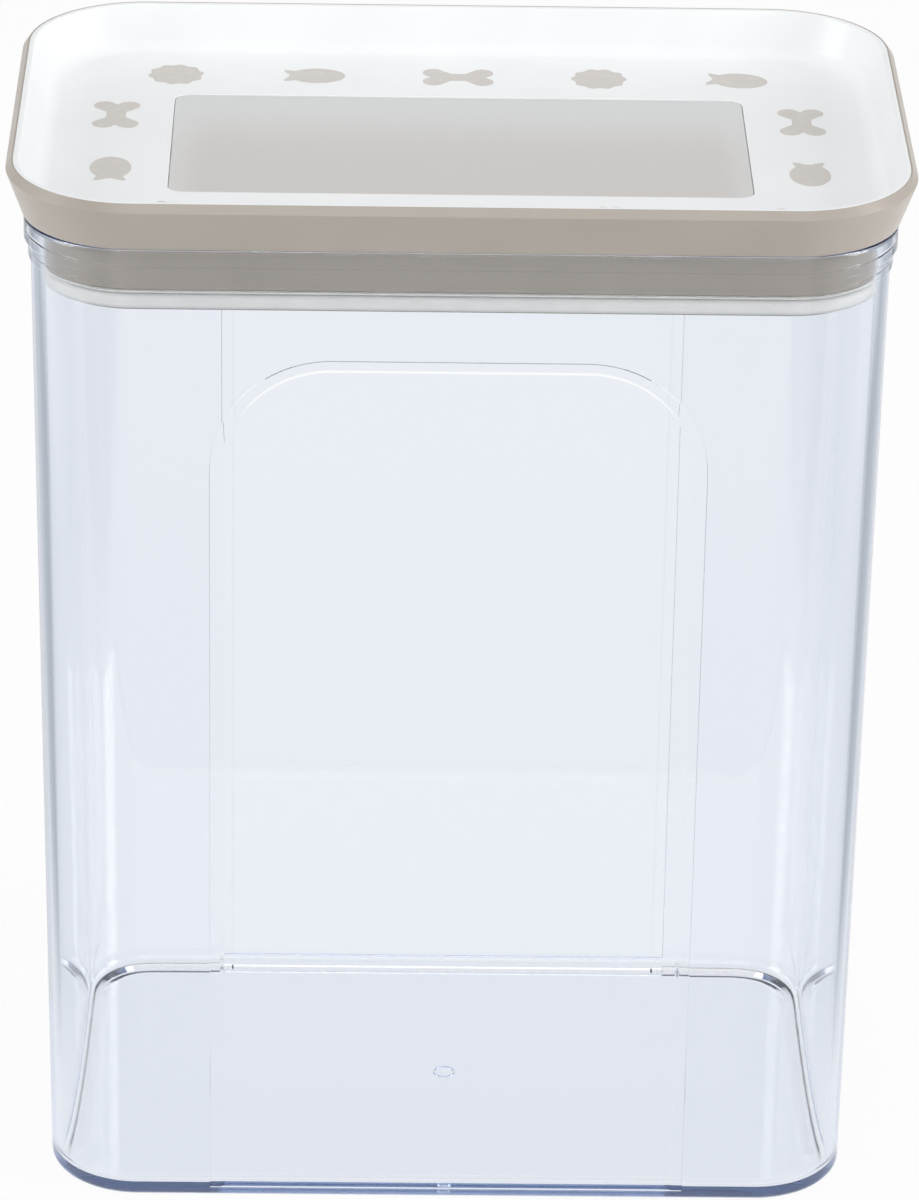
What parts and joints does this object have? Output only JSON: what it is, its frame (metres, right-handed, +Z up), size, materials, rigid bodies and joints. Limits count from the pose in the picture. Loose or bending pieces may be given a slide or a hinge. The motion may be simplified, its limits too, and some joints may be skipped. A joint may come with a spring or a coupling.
{
  "type": "airtight storage jar",
  "caption": "Clear rounded-rectangular storage jar with a flared plug lid, a silicone seal, a dished white top plate and a window panel.",
  "frame": {"origin": "middle of the foot, on the surface that the jar stands on", "axes": "+Z up through the mouth, +X along the wide side, -Y out of the front wall"},
  "size_m": [0.2004, 0.1288, 0.2518],
  "materials": {
    "clear_plastic": "clear polished plastic",
    "taupe_plastic": "satin moulded plastic",
    "white_plastic": "satin moulded plastic",
    "frosted_plastic": "frosted translucent plastic",
    "silicone": "soft off-white silicone"
  },
  "bodies": {
    "jar": {"container": "clear_plastic"},
    "lid": {"lid_base": "taupe_plastic", "lid_plate": "white_plastic", "window_panel": "frosted_plastic", "lid_seal": "silicone"}
  },
  "joints": [
    {"name": "lid_lift", "type": "slide", "parent": "jar", "child": "lid", "axis": [0, 0, 1], "range_m": [0, 0.12]}
  ]
}
